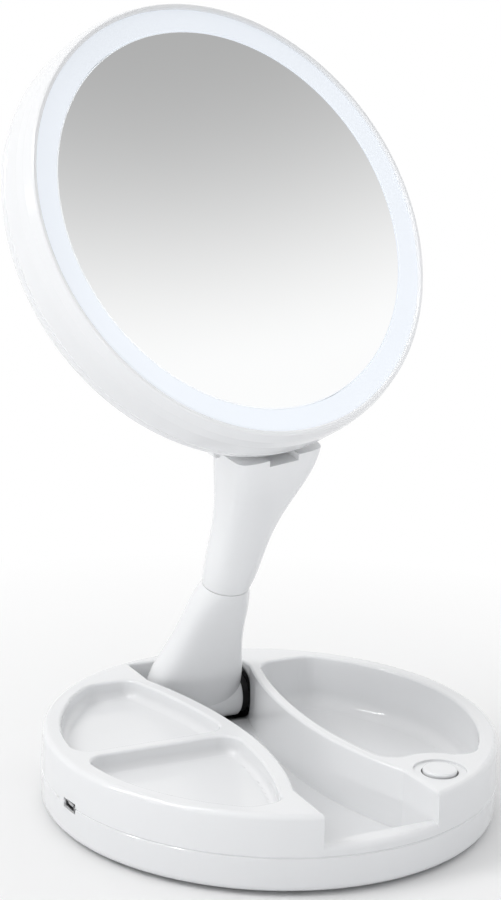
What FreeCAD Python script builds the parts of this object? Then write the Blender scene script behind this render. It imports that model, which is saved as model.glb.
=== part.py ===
import FreeCAD, Part
import Sketcher
import math
import os
import re
from FreeCAD import Placement, Rotation, Vector

# Folding lighted mirror: a round base with trays, a hinged and swivelling arm and a round lit head.
# Millimetres, +Z up. The origin is the middle of the base on the surface that it stands on.
# The front is -Y. The arm stands raised in its stop and the head is turned a little to +X.

doc = FreeCAD.newDocument("folding_mirror")
sheet = doc.addObject("Spreadsheet::Sheet", "Sizes")
NODES = []

# Driving dimensions

SIZES = {
    # Base
    "base_radius": 86,  # widest radius of the base
    "base_height": 30.5,  # height of the base's deck
    "base_wall": 2.4,  # wall of the two base shells
    "deck_wall": 2.2,  # thickness of the deck and of the tray floors
    "part_line": 14.7,  # height of the line between the base shells
    "part_bevel": 0.4,  # bevel beside that line
    "side_draw": 0.5,  # how much the side draws in at the deck
    "rim_round": 2.2,  # rounding of the deck's edge
    "floor_round": 3,  # rounding of the base's lower edge
    "cover_floor": 2,  # floor of the bottom cover
    "foot_stand": 1.5,  # how far the foot ring holds the cover up
    "foot_recess": 0.8,  # depth that the foot ring sits in the cover
    "foot_ring_radius": 76.2,  # outer radius of the foot ring
    "foot_ring_width": 3.6,  # width of the foot ring
    "foot_ring_round": 0.6,  # rounding of the foot ring's lower edges
    # Channel that takes the folded arm
    "waist_half": 12,  # half width of the channel at its waist
    "waist_y": -5,  # where the waist lies
    "flare_half": 22.5,  # half width where the channel meets its mouth
    "flare_y": -59.5,  # where the channel meets its mouth
    "mouth_half": 23.3,  # half width of the mouth
    "root_space_half": 22.6,  # half width of the channel beside the arm's root
    "root_space_y": 60,  # where that width begins
    "channel_end": 79.3,  # where the channel ends behind the arm
    "channel_floor": 7,  # height of the channel's floor
    "channel_wall": 2,  # wall of the channel
    "ramp_y": -62,  # where the floor starts to rise to the mouth
    "lip_y": -79,  # where the mouth's lip begins
    "lip_height": 19,  # height of the mouth's lip
    "lip_round": 2.2,  # rounding of the mouth's lip
    # Trays and bowl
    "tray_radius": 78.8,  # outer radius of the trays
    "tray_band": 6,  # deck between the channel and the trays
    "tray_depth": 7,  # depth of the trays
    "tray_corner": 7,  # corner rounding of the trays
    "tray_floor_round": 3,  # rounding between a tray's floor and walls
    "divider_y": -1.5,  # middle of the ridge between the trays
    "divider_width": 5,  # width of that ridge
    "tray_end": 63.5,  # how far the trays reach to the back
    "tray_front": -66,  # how far the trays reach to the front
    "bowl_radius": 78.4,  # outer radius of the bowl
    "bowl_band": 4.3,  # deck between the channel and the bowl
    "bowl_depth": 21,  # depth of the bowl
    "bowl_corner": 9,  # corner rounding of the bowl
    "bowl_floor_round": 6,  # rounding between the bowl's floor and walls
    "bowl_end": 61,  # how far the bowl reaches to the back
    "island_radius": 17,  # deck kept round the button
    "edge_round": 1.1,  # rounding of the tray, bowl and channel edges
    # Power button
    "button_x": 34.7,  # button's place to the side
    "button_y": -64.2,  # button's place to the front
    "button_radius": 6.3,  # radius of the button's cap
    "button_gap": 0.35,  # gap round the cap
    "button_proud": 0.7,  # how far the cap stands over the deck
    "button_travel": 1.2,  # how far the button is pressed
    "button_crown": 0.8,  # rounding of the cap's edge
    "flange_reach": 1.2,  # how far the cap's flange holds it under the deck
    "flange_height": 1.1,  # thickness of that flange
    "flange_gap": 0.3,  # gap between the flange and the deck
    "stem_radius": 2,  # radius of the button's stem
    "dish_radius": 9.8,  # radius of the dish round the button
    "dish_depth": 0.8,  # depth of the dish
    "switch_side": 6,  # side of the push switch
    "switch_height": 3.5,  # height of the push switch
    "plunger_radius": 1.7,  # radius of the switch's plunger
    "plunger_height": 2.4,  # height of the plunger over the switch
    "plunger_seat": 0.2,  # gap under the pressed plunger, and its depth in the switch at rest
    "board_wall": 1.6,  # thickness of the circuit boards
    "switch_board_height": 15.5,  # height of the switch board's underside
    "switch_board_long": 17,  # length of the switch board
    "switch_board_wide": 12,  # width of the switch board
    # Charging socket and its board
    "port_y": -8,  # middle of the charging socket
    "port_wide": 7.6,  # width of the socket
    "port_tall": 2.8,  # height of the socket
    "port_deep": 5.6,  # depth of the socket
    "port_inset": 0.7,  # how far the socket sits behind the side
    "port_gap": 0.5,  # gap round the socket
    "port_skin": 0.35,  # sheet thickness of the socket
    "pilot_y": 1.8,  # place of the charge light
    "pilot_radius": 0.9,  # radius of the charge light
    "fit_gap": 0.05,  # running fit between a pin and its hole
    "board_long": 29,  # length of the control board
    "board_wide": 10,  # width of the control board
    "board_middle": -3,  # middle of the control board along the side
    "post_radius": 2,  # radius of the posts under the boards
    # Battery bay
    "bay_inner": -18,  # end of the battery bay beside the channel
    "bay_long": 50.4,  # length of the battery bay
    "bay_wall": 1.5,  # wall of the battery bay
    "cell_gap": 0.4,  # gap over and under the cells
    "cell_radius": 5.25,  # radius of a cell
    "cell_long": 43.6,  # length of a cell without its nub
    "cell_nub": 1,  # height of a cell's nub
    "cell_nub_radius": 1.9,  # radius of a cell's nub
    "cell_pitch": 11.2,  # distance between the cells
    "contact_wall": 0.6,  # thickness of a contact plate
    "contact_side": 8,  # side of a contact plate
    "leaf_width": 5,  # width of a contact spring
    "door_gap": 0.3,  # gap round the battery door
    "door_wall": 1.8,  # thickness of the battery door
    # Screws of the base
    "screw_front_x": 29,  # front screws, to the side
    "screw_back_x": 37,  # back screws, to the side
    "screw_ring": 79.6,  # distance of the screws from the middle
    "screw_radius": 1.1,  # radius of a screw's shank
    "screw_head_radius": 2.5,  # radius of a screw's head
    "screw_head": 1.8,  # height of a screw's head
    "screw_long": 14,  # length of a screw's shank
    "boss_radius": 3,  # radius of a screw boss
    "boss_foot": 6.2,  # height of the joint between the bosses
    # Arm: a hinge at the base, a swivel at its waist
    "pivot_y": 67.5,  # arm hinge, to the back
    "pivot_z": 16.5,  # arm hinge, height
    "seam_y": 40.3,  # middle of the swivel seam, to the back
    "seam_z": 73.5,  # middle of the swivel seam, height
    "lean": 14,  # forward lean of the swivel's axis
    "swivel": 12.3,  # how far the head is turned to the side
    "seam_radius": 9.3,  # radius of the arm at the swivel seam
    "seam_gap": 0.3,  # gap at the swivel seam
    "arm_gap": 1,  # gap between the folded arm and the channel
    "root_half": 19.6,  # half width of the arm's root
    "root_inset": 0.6,  # how far the arm starts inside its root
    "root_radius": 9.2,  # radius of the arm's root round its hinge
    "shin_depth": 10.4,  # half depth of the arm above its root
    "shin_back": 11.2,  # how far its middle lies behind the swivel's axis
    "calf_depth": 8.8,  # half depth of the lower arm's middle
    "calf_back": 7.8,  # how far its middle lies behind the swivel's axis
    "ankle_depth": 8.4,  # half depth of the arm below the seam
    "ankle_back": 4,  # how far its middle lies behind the swivel's axis
    "neck_depth": 9.2,  # half depth of the arm above the seam
    "neck_lead": 2.3,  # how far its middle lies before the swivel's axis
    "chest_depth": 9.1,  # half depth of the upper arm's middle
    "chest_lead": 4.8,  # how far its middle lies before the swivel's axis
    "collar_depth": 10,  # half depth of the arm below the yoke
    "collar_lead": 8,  # how far its middle lies before the swivel's axis
    "yoke_depth": 10.1,  # half depth of the yoke
    "yoke_lead": 10.4,  # how far its middle lies before the swivel's axis
    "yoke_slim": 1,  # how much the yoke draws in from the channel's width
    "yoke_top": 65.5,  # height of the yoke's top over the seam
    "station": 15,  # height between the arm's sections
    "low_power": 2.6,  # squareness of the lower arm's sections
    "neck_power": 2.5,  # squareness of the section above the seam
    "chest_power": 3,  # squareness of the section in the upper arm's middle
    "collar_power": 4,  # squareness of the section below the yoke
    "yoke_power": 6,  # squareness of the yoke's section
    "arm_pin_radius": 2.6,  # radius of the arm's hinge pin
    "block_wall": 6,  # thickness of a hinge block
    "block_deep": 8,  # depth of a hinge block
    "block_top": 20.8,  # height of a hinge block's top
    "washer_radius": 8,  # radius of the arm hinge's washers
    "washer_gap": 0.15,  # gap beside those washers
    "spindle_radius": 5,  # radius of the swivel spindle
    "spindle_reach": 15.5,  # how far the spindle reaches over the seam
    "spindle_drop": 9.5,  # how far the spindle reaches under the seam
    "spindle_bore": 2.6,  # radius of the wire way in the spindle
    "ring_radius": 7.2,  # radius of the swivel's friction ring
    "ring_height": 1.4,  # height of the friction ring
    # Head and its hinge
    "tilt": 30,  # backward tilt of the mirror
    "head_back": 25.3,  # head's middle behind the swivel's axis
    "head_up": 144,  # head's middle over the seam
    "head_radius": 87,  # widest radius of the head
    "edge_bevel": 0.5,  # bevel of the head's front edges
    "face_radius": 85.2,  # radius of the head's front edge
    "head_depth": 24.5,  # thickness of the head
    "head_line": 17.3,  # depth of the line between the head's shells
    "bezel_lip": 1.5,  # thickness of the bezel's lip
    "light_radius": 83.3,  # outer radius of the light ring that shows
    "bezel_wall": 2.3,  # wall of the head's shells
    "glass_radius": 74.5,  # radius of the mirror glass
    "glass_wall": 3,  # thickness of the mirror glass
    "glass_gap": 0.3,  # gap round the mirror glass
    "lens_wall": 2,  # thickness of the light ring
    "lens_foot": 1.6,  # width of the light ring's foot
    "plate_wall": 2,  # thickness of the plate behind the glass
    "strip_wide": 5.2,  # width of the ring of lamps' board
    "lamp_count": 32,  # number of lamps in the ring
    "lamp_long": 3.4,  # length of a lamp
    "lamp_wide": 2.6,  # width of a lamp
    "lamp_tall": 1.2,  # height of a lamp
    "shelf_wall": 2.4,  # wall of the ring that carries the lamps' board
    "back_wall": 1.8,  # wall of the head's back
    "back_glass_radius": 66,  # radius of the magnifying glass on the back
    "back_glass_wall": 1.4,  # thickness of that glass at its edge
    "back_glass_hollow": 0.8,  # how deep that glass is hollowed
    "stay_radius": 41,  # radius of the ring that carries the plate
    "pin_drop": 75,  # distance of the tilt pin from the head's middle
    "pin_behind": 8.5,  # distance of the tilt pin behind the head's back
    "tilt_pin_radius": 2,  # radius of the tilt pin
    "ear_radius": 5.6,  # radius of the yoke's ears
    "ear_outer": 17.6,  # outer face of the yoke's ears
    "slot_half": 7,  # half width of the yoke's slot
    "slot_floor": 63.2,  # height of the slot's floor over the seam
    "tongue_gap": 0.3,  # gap beside the bracket's tongue
    "tongue_radius": 5,  # radius of the bracket's tongue
    "bracket_half": 14,  # half width of the bracket's foot
    "bracket_wall": 1.8,  # thickness of the bracket's foot
    "bracket_reach": 7,  # reach of the bracket's foot from its pin
    "ear_cap": 1.2,  # thickness of the caps on the ears
}
for row, (alias, number_now) in enumerate(SIZES.items(), 1):
    sheet.set("A%d" % row, alias)
    sheet.set("B%d" % row, str(number_now))
    sheet.setAlias("B%d" % row, alias)
doc.recompute()


def value(alias):
    """The number of one driving dimension, read from the sheet."""
    return float(getattr(sheet, alias))


def bound(text):
    """An expression in which each driving dimension is read from the sheet."""
    def cell(word):
        return "Sizes." + word.group() if word.group() in SIZES else word.group()

    return re.sub(r"[a-z_]+", cell, text)


def bind(item, **expressions):
    """Binds properties of an object to expressions of driving dimensions."""
    for name, text in expressions.items():
        item.setExpression(name, bound(text))
    return item


def place(item, x="0", y="0", z="0", axis=None, angle=0):
    """Turns an object about an axis and binds its position to driving dimensions."""
    if axis is not None:
        item.Placement = Placement(Vector(), Rotation(axis, angle))
    for letter, text in zip("xyz", (x, y, z)):
        item.setExpression("Placement.Base." + letter, bound(text))
    return item


def cylinder(name, radius, height, **where):
    """A cylinder along Z from its place."""
    return place(bind(doc.addObject("Part::Cylinder", name), Radius=radius, Height=height), **where)


def cross_cylinder(name, radius, height, **where):
    """A cylinder along X from its place."""
    return cylinder(name, radius, height, axis=Vector(0, 1, 0), angle=90, **where)


def box(name, long, wide, tall, **where):
    """A box from its corner with the lowest x, y and z."""
    return place(bind(doc.addObject("Part::Box", name), Length=long, Width=wide, Height=tall), **where)


def joined(name, pieces):
    """One solid made of several that overlap."""
    item = doc.addObject("Part::MultiFuse", name)
    item.Shapes = pieces
    item.Refine = True
    return item


def cut(name, base, tools):
    """A solid with others taken away from it."""
    for step, tool in enumerate(tools):
        item = doc.addObject("Part::Cut", name if step == len(tools) - 1 else "%s_%d" % (name, step))
        item.Base = base
        item.Tool = tool
        item.Refine = True
        base = item
    return base


def shared(name, first, second):
    """The space that two solids share."""
    item = doc.addObject("Part::Common", name)
    item.Base = first
    item.Tool = second
    return item


def group(name, pieces):
    """Separate equal solids kept in one sub-part."""
    item = doc.addObject("Part::Compound", name)
    item.Links = pieces
    return item


def rounded(name, base, radius, wanted):
    """A solid with a rounding along each edge that the test picks."""
    doc.recompute()
    picked = [index for index, edge in enumerate(base.Shape.Edges, 1) if wanted(edge)]
    item = doc.addObject("Part::Fillet", name)
    item.Base = base
    item.Edges = [(index, radius, radius) for index in picked]
    return item


def turned(name, corners):
    """A body turned about Z from a closed outline of radius and height expressions."""
    body = doc.addObject("PartDesign::Body", name)
    sketch = body.newObject("Sketcher::SketchObject", name + "_outline")
    plane = [face for face in body.Origin.OriginFeatures if face.Role == "XZ_Plane"][0]
    sketch.AttachmentSupport = [(plane, "")]
    sketch.MapMode = "FlatFace"
    numbers = [Vector(number(r), number(z), 0) for r, z in corners]
    count = len(corners)
    for index in range(count):
        sketch.addGeometry(Part.LineSegment(numbers[index], numbers[(index + 1) % count]), False)
    for index in range(count):
        sketch.addConstraint(Sketcher.Constraint("Coincident", index, 2, (index + 1) % count, 1))
    for index, (radius, height) in enumerate(corners):
        pin_corner(sketch, index, "X", radius, numbers[index].x)
        pin_corner(sketch, index, "Y", height, numbers[index].y)
    feature = body.newObject("PartDesign::Revolution", name + "_turn")
    feature.Profile = sketch
    feature.ReferenceAxis = (sketch, ["V_Axis"])
    feature.Angle = 360
    return body


def pin_corner(sketch, line, letter, text, at):
    """Holds the start of a line at a distance from the sketch's origin."""
    if text == "0":
        target = -2 if letter == "X" else -1
        sketch.addConstraint(Sketcher.Constraint("PointOnObject", line, 1, target))
        return
    held = sketch.addConstraint(Sketcher.Constraint("Distance" + letter, -1, 1, line, 1, at))
    sketch.setExpression("Constraints[%d]" % held, bound(text))


def number(text):
    """The present value of an expression of driving dimensions."""
    doc_value = sheet.evalExpression(re.sub(r"[a-z_]+", lambda word: word.group(), text))
    return float(getattr(doc_value, "Value", doc_value))


def node(label, item, frame=None):
    """Names a finished sub-part and sets it in the frame of the piece that carries it."""
    if frame is not None:
        item.Placement = frame.multiply(item.Placement)
    item.Label = label
    NODES.append(item)
    return item


def at_height(height):
    """A test for edges that lie flat at a height."""
    return lambda edge: abs(edge.BoundBox.ZMin - height) < 0.01 and abs(edge.BoundBox.ZMax - height) < 0.01


def upright(edge):
    """A test for straight edges along Z."""
    box_of = edge.BoundBox
    return box_of.XLength < 0.01 and box_of.YLength < 0.01 and box_of.ZLength > 1


ACROSS = Vector(1, 0, 0)
LEAN = Rotation(ACROSS, value("lean"))
ARM = Placement(Vector(0, value("seam_y"), value("seam_z")), LEAN)
NECK = ARM.multiply(Placement(Vector(), Rotation(Vector(0, 0, 1), value("swivel"))))
HEAD_TURN = Rotation(ACROSS, -90 - value("tilt") - value("lean"))
HEAD = NECK.multiply(Placement(Vector(0, value("head_back"), value("head_up")), HEAD_TURN))
PIVOT = ARM.inverse().multVec(Vector(0, value("pivot_y"), value("pivot_z")))
TILT_PIN = NECK.inverse().multiply(HEAD).multVec(
    Vector(0, value("pin_drop"), value("head_depth") + value("pin_behind")))


def channel_half(y):
    """Half width of the channel: two arcs that meet at its waist."""
    end_half = value("flare_half") if y < value("waist_y") else value("root_space_half")
    end_y = value("flare_y") if y < value("waist_y") else value("root_space_y")
    run = abs(end_y - value("waist_y"))
    rise = end_half - value("waist_half")
    radius = (run * run + rise * rise) / (2 * rise)
    away = min(abs(y - value("waist_y")), run)
    return value("waist_half") + radius - math.sqrt(radius * radius - away * away)


def channel_wire(extra, height):
    """Outline of the channel, widened by extra, from behind the arm to past the front of the base."""
    front = -value("base_radius") - 4
    back = value("channel_end") + extra
    flare_y = value("flare_y")
    root_y = value("root_space_y")
    waist_y = value("waist_y")
    edges = []
    for side in (1, -1):
        def point(half, y):
            return Vector(side * (half + extra), y, height)
        waist = point(value("waist_half"), waist_y)
        fore = point(channel_half((waist_y + flare_y) / 2), (waist_y + flare_y) / 2)
        aft = point(channel_half((waist_y + root_y) / 2), (waist_y + root_y) / 2)
        flare = point(value("flare_half"), flare_y)
        root = point(value("root_space_half"), root_y)
        corner = point(value("root_space_half"), value("channel_end"))
        corner.y = back
        mouth = point(value("mouth_half"), front)
        edges += [Part.LineSegment(mouth, flare).toShape(), Part.Arc(flare, fore, waist).toShape(),
                  Part.Arc(waist, aft, root).toShape(), Part.LineSegment(root, corner).toShape()]
        if side > 0:
            ends = (corner, mouth)
    edges.append(Part.LineSegment(ends[0], corner).toShape())
    edges.append(Part.LineSegment(ends[1], mouth).toShape())
    return Part.Wire(Part.sortEdges(edges)[0])


def channel_prism(name, extra, bottom, top):
    """The channel's outline, widened by extra, drawn up from bottom to top."""
    item = doc.addObject("Part::Feature", name)
    item.Shape = Part.Face(channel_wire(extra, bottom)).extrude(Vector(0, 0, top - bottom))
    return item


def side_prism(name, corners, half):
    """A prism across the part, from an outline of y and z."""
    points = [Vector(-half, y, z) for y, z in corners]
    item = doc.addObject("Part::Feature", name)
    item.Shape = Part.Face(Part.makePolygon(points + points[:1])).extrude(Vector(2 * half, 0, 0))
    return item


# Base top shell

deck = value("base_height")
over = deck + 10


def flat_ring(radius, height):
    """A round face at a height."""
    return Part.Face(Part.Wire(Part.makeCircle(radius, Vector(0, 0, height))))


def flat_box(x_from, x_to, y_from, y_to, height):
    """A rectangular face at a height."""
    return Part.makePlane(x_to - x_from, y_to - y_from, Vector(x_from, y_from, height))


def soft_corners(face, radius):
    """The face with its outward corners rounded."""
    return face.makeOffset2D(-radius, 2).makeOffset2D(radius, 0)


def flared(room, outline):
    """The room widened by a rounding where its outline meets the deck."""
    radius = value("edge_round")
    wide = outline.makeOffset2D(2 * radius, 0)
    wide.translate(Vector(0, 0, deck - outline.BoundBox.ZMin))
    tool = room.fuse(wide.extrude(Vector(0, 0, over - deck)))
    brim = outline.OuterWire.copy()
    brim.translate(Vector(0, 0, deck - outline.BoundBox.ZMin))
    level = [edge for edge in tool.Edges if at_height(deck)(edge)]
    near = [edge for edge in level
            if brim.distToShape(Part.Vertex(edge.valueAt(sum(edge.ParameterRange) / 2)))[0] < 0.001]
    return tool.makeFillet(radius, near)


def sunk_room(name, outline, corner, depth, floor_round):
    """The room over a sunk floor: rounded corners, floor and brim."""
    soft = soft_corners(outline, corner).Faces[0]
    room = soft.extrude(Vector(0, 0, over - (deck - depth)))
    low = [edge for edge in room.Edges if at_height(deck - depth)(edge)]
    item = doc.addObject("Part::Feature", name)
    item.Shape = flared(room.makeFillet(floor_round, low), soft)
    return item


def tray_room(name, y_from, y_to):
    """The room of one tray, between the rim, the channel and the ridge."""
    floor = deck - value("tray_depth")
    outline = flat_ring(value("tray_radius"), floor).common(
        flat_box(-value("base_radius"), 0, y_from, y_to, floor))
    outline = outline.cut(Part.Face(channel_wire(value("tray_band"), floor)))
    return sunk_room(name, outline.Faces[0], value("tray_corner"), value("tray_depth"),
                     value("tray_floor_round"))


def bowl_room(name):
    """The room of the bowl, between the rim, the channel and the button's island."""
    floor = deck - value("bowl_depth")
    outline = flat_ring(value("bowl_radius"), floor)
    outline.rotate(Vector(), Vector(0, 0, 1), 180)
    outline = outline.common(flat_box(0, value("base_radius"), -value("base_radius"), value("bowl_end"),
                                      floor))
    outline = outline.cut(Part.Face(channel_wire(value("bowl_band"), floor)))
    keep = flat_ring(value("island_radius"), floor)
    keep.rotate(Vector(), Vector(0, 0, 1), -120)
    keep.translate(Vector(value("button_x"), value("button_y"), 0))
    outline = outline.cut(keep)
    largest = max(outline.Faces, key=lambda face: face.Area)
    return sunk_room(name, largest, value("bowl_corner"), value("bowl_depth"), value("bowl_floor_round"))


def tray_cup(name, space, extra, depth, y_from, y_to, radius):
    """The wall and floor round a tray's room, plain on the side that doesn't show."""
    disc = cylinder(name + "_disc", "%s + %s" % (radius, extra), "%s + %s - deck_wall / 2" % (depth, extra),
                    z="base_height - %s - %s" % (depth, extra))
    side = box(name + "_side", "base_radius", "%s - (%s) + 2 * %s" % (y_to, y_from, extra),
               "3 * base_height",
               x=space, y="%s - %s" % (y_from, extra))
    return shared(name, disc, side)


shell_blank = turned("top_shell_blank", [
    ("0", "base_height"),
    ("base_radius - side_draw", "base_height"),
    ("base_radius", "part_line + part_bevel"),
    ("base_radius - part_bevel", "part_line"),
    ("base_radius - base_wall", "part_line"),
    ("base_radius - base_wall - side_draw", "base_height - deck_wall"),
    ("0", "base_height - deck_wall")])
rim_edge = rounded("top_shell_rim", shell_blank, value("rim_round"),
                   lambda edge: at_height(deck)(edge) and edge.BoundBox.XLength > value("base_radius"))

half_ridge = value("divider_width") / 2
front_tray = tray_room("front_tray_room", value("tray_front"), value("divider_y") - half_ridge)
back_tray = tray_room("back_tray_room", value("divider_y") + half_ridge, value("tray_end"))
tray_walls = tray_cup("tray_walls", "-base_radius", "deck_wall", "tray_depth", "tray_front", "tray_end",
                      "tray_radius")

bowl = bowl_room("bowl_room")
bowl_walls = tray_cup("bowl_walls", "0", "deck_wall", "bowl_depth", "-base_radius", "bowl_end",
                      "bowl_radius")
bowl_walls = cut("bowl_walls_cut", bowl_walls, [
    cylinder("island_room", "island_radius - deck_wall", "base_height - deck_wall / 2",
             x="button_x", y="button_y"),
    box("front_room", "button_x + island_radius / 2", "base_radius", "base_height - deck_wall / 2",
        y="button_y - base_radius")])

channel_room = doc.addObject("Part::Feature", "channel_room")
channel_face = Part.Face(channel_wire(0, value("channel_floor")))
channel_room.Shape = flared(channel_face.extrude(Vector(0, 0, over - value("channel_floor"))), channel_face)
channel = cut("channel_space", channel_room, [
    side_prism("mouth_ramp", [(value("ramp_y"), value("channel_floor") - 5),
                              (value("ramp_y"), value("channel_floor")),
                              (value("lip_y"), value("lip_height")),
                              (-2 * value("base_radius"), value("lip_height")),
                              (-2 * value("base_radius"), value("channel_floor") - 5)],
               value("base_radius"))])
channel_block = channel_prism("channel_block", value("channel_wall"),
                              value("channel_floor") - value("channel_wall"), deck - value("deck_wall") / 2)
inside = joined("inside", [
    cylinder("inside_low", "base_radius - base_wall - 0.3", "part_line"),
    cylinder("inside_high", "base_radius - base_wall / 2 - side_draw",
             "base_height - part_line - deck_wall / 2",
             z="part_line")])
channel_walls = shared("channel_walls", channel_block, inside)


def screw_places():
    """The four screws of the base: two beside the mouth and two behind."""
    places = []
    for alias, back in (("screw_front_x", -1), ("screw_back_x", 1)):
        side = value(alias)
        deep = back * math.sqrt(value("screw_ring") ** 2 - side ** 2)
        places += [(side, deep), (-side, deep)]
    return places


bosses = []
boss_bores = []
for index, (x, y) in enumerate(screw_places()):
    bosses.append(cylinder("boss_%d" % index, "boss_radius", "base_height - deck_wall / 2 - boss_foot",
                           x=str(x), y=str(y), z="boss_foot"))
    boss_bores.append(cylinder("boss_bore_%d" % index, "screw_radius + fit_gap", "screw_long",
                               x=str(x), y=str(y), z="boss_foot - 2"))

dish = cylinder("dish", "dish_radius", "10", x="button_x", y="button_y", z="base_height - dish_depth")
button_hole = cylinder("button_hole", "button_radius + button_gap", "2 * base_height",
                       x="button_x", y="button_y", z="part_line")
flange_room = cylinder("flange_room", "button_radius + flange_reach + button_gap",
                       "base_height - part_line - deck_wall", x="button_x", y="button_y", z="part_line")
port_hole = box("port_hole", "2 * base_wall + 8", "port_wide + 2 * port_gap", "port_tall + 2 * port_gap",
                x="-base_radius - 4", y="port_y - port_wide / 2 - port_gap",
                z="part_line - port_tall / 2 - port_gap")
pilot_hole = cross_cylinder("pilot_hole", "pilot_radius + fit_gap", "base_wall + 8", x="-base_radius - 4",
                            y="pilot_y", z="part_line")
pin_hole = cross_cylinder("pin_hole", "arm_pin_radius + fit_gap", "2 * (root_space_half + channel_wall + 1)",
                          x="-root_space_half - channel_wall - 1", y="pivot_y", z="pivot_z")

shell_walls = joined("shell_walls", [rim_edge, tray_walls, bowl_walls, channel_walls] + bosses)
shell_open = cut("shell_open", shell_walls, [front_tray, back_tray, bowl, channel])
shell_lip = rounded("shell_lip", shell_open, value("lip_round"),
                    lambda edge: at_height(value("lip_height"))(edge)
                    and edge.BoundBox.YMin < 4 - value("base_radius")
                    and edge.BoundBox.XLength > value("mouth_half"))
top_shell = cut("top_shell", shell_lip,
                [dish, button_hole, flange_room, port_hole, pilot_hole, pin_hole] + boss_bores)
node("base_top_shell", top_shell)

# Base bottom cover with the battery bay, the posts of the boards and the screw bosses

bay_half = "(2 * cell_pitch + door_gap)"
bay_top = "(foot_stand + door_wall + 2 * cell_gap + 2 * cell_radius)"
floor_top = "(foot_stand + cover_floor)"

cover_blank = turned("cover_blank", [
    ("0", "foot_stand"),
    ("base_radius - part_bevel", "foot_stand"),
    ("base_radius", "part_line - part_bevel"),
    ("base_radius - part_bevel", "part_line"),
    ("base_radius - base_wall", "part_line"),
    ("base_radius - base_wall", "foot_stand + cover_floor"),
    ("0", "foot_stand + cover_floor")])
cover_shape = rounded("cover_shape", cover_blank, value("floor_round"), at_height(value("foot_stand")))
cover_adds = [box("bay_block", "bay_long + 2 * bay_wall", "2 * %s + 2 * bay_wall" % bay_half,
                  bay_top + " + bay_wall - foot_stand - cover_floor / 2", x="bay_inner - bay_long - bay_wall",
                  y="-%s - bay_wall" % bay_half, z="foot_stand + cover_floor / 2")]
cover_cuts = [box("bay_room", "bay_long", "2 * " + bay_half, bay_top + " - foot_stand + 5",
                  x="bay_inner - bay_long", y="-" + bay_half, z="foot_stand - 5")]
board_x = "-base_radius + base_wall + 2.6"
for index, spot in enumerate(("board_middle - board_long / 2 + 4", "board_middle + board_long / 2 - 4")):
    cover_adds.append(cylinder("board_post_%d" % index, "post_radius",
                               "part_line - port_tall / 2 - board_wall - foot_stand - cover_floor / 2",
                               x=board_x + " + board_wide / 2", y=spot, z="foot_stand + cover_floor / 2"))
for index, side in enumerate((-1, 1)):
    cover_adds.append(cylinder("switch_post_%d" % index, "post_radius",
                               "switch_board_height - foot_stand - cover_floor / 2",
                               x="button_x + %d * (switch_board_long / 2 - post_radius)" % side, y="button_y",
                               z="foot_stand + cover_floor / 2"))
screws = []
for index, (x, y) in enumerate(screw_places()):
    cover_adds.append(cylinder("cover_boss_%d" % index, "boss_radius + 0.6", "boss_foot - foot_stand",
                               x=str(x), y=str(y), z="foot_stand"))
    cover_cuts.append(cylinder("head_room_%d" % index, "screw_head_radius + button_gap", "screw_head + 5.3",
                               x=str(x), y=str(y), z="foot_stand - 5"))
    cover_cuts.append(cylinder("shank_room_%d" % index, "screw_radius + button_gap", "20", x=str(x),
                               y=str(y)))
    head = cylinder("screw_top_%d" % index, "screw_head_radius", "screw_head", x=str(x), y=str(y),
                    z="foot_stand + 0.3")
    shank = cylinder("screw_shank_%d" % index, "screw_radius", "screw_head + screw_long - 6", x=str(x),
                     y=str(y),
                     z="foot_stand + 0.3")
    notch = box("screw_notch_%d" % index, "2 * screw_head_radius", "0.7", "1",
                x="%s - screw_head_radius" % x,
                y="%s - 0.35" % y, z="foot_stand - 0.1")
    screws.append(cut("screw_%d" % index, joined("screw_body_%d" % index, [head, shank]), [notch]))
ring_tool = cylinder("ring_tool", "foot_ring_radius", "foot_recess + 5", z="foot_stand - 5")
ring_core = cylinder("ring_core", "foot_ring_radius - foot_ring_width", "foot_recess + 9",
                     z="foot_stand - 7")
cover_cuts.append(cut("ring_recess", ring_tool, [ring_core]))
foot_ring = turned("foot_ring", [
    ("foot_ring_radius", "0"),
    ("foot_ring_radius", "foot_stand + foot_recess"),
    ("foot_ring_radius - foot_ring_width", "foot_stand + foot_recess"),
    ("foot_ring_radius - foot_ring_width", "0")])
foot_soft_ring = rounded("foot_soft_ring", foot_ring, value("foot_ring_round"), at_height(0))
cover_port = box("cover_port", "2 * base_wall + 8", "port_wide + 2 * port_gap", "port_tall + 2 * port_gap",
                 x="-base_radius - 4", y="port_y - port_wide / 2 - port_gap",
                 z="part_line - port_tall / 2 - port_gap")
cover_pilot = cross_cylinder("cover_pilot", "pilot_radius + fit_gap", "base_wall + 8", x="-base_radius - 4",
                             y="pilot_y", z="part_line")
cover = cut("cover", joined("cover_full", [cover_shape] + cover_adds),
            cover_cuts + [cover_port, cover_pilot])
node("base_bottom_cover", cover)
node("base_screws", group("screw_set", screws))
node("base_foot_ring", foot_soft_ring)

# Batteries, contacts and door

door = box("door_plate", "bay_long - 2 * door_gap", "2 * %s - 2 * door_gap" % bay_half, "door_wall",
           x="bay_inner - bay_long + door_gap", y="-%s + door_gap" % bay_half, z="foot_stand")
door_grip = cylinder("door_grip", "cell_radius", "door_wall", x="bay_inner - bay_long / 2",
                     y="-bay_long / 4",
                     z="foot_stand - door_wall * 2 / 3")
door_soft = rounded("door_soft", door, value("door_gap"), at_height(value("foot_stand")))
node("battery_door", cut("door", door_soft, [door_grip]))

far_end = "(bay_inner - bay_long)"
leaf_long = value("bay_long") - 2 * value("contact_wall") - value("cell_nub") - value("cell_long")
cell_z = "(foot_stand + door_wall + cell_gap + cell_radius)"


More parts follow.
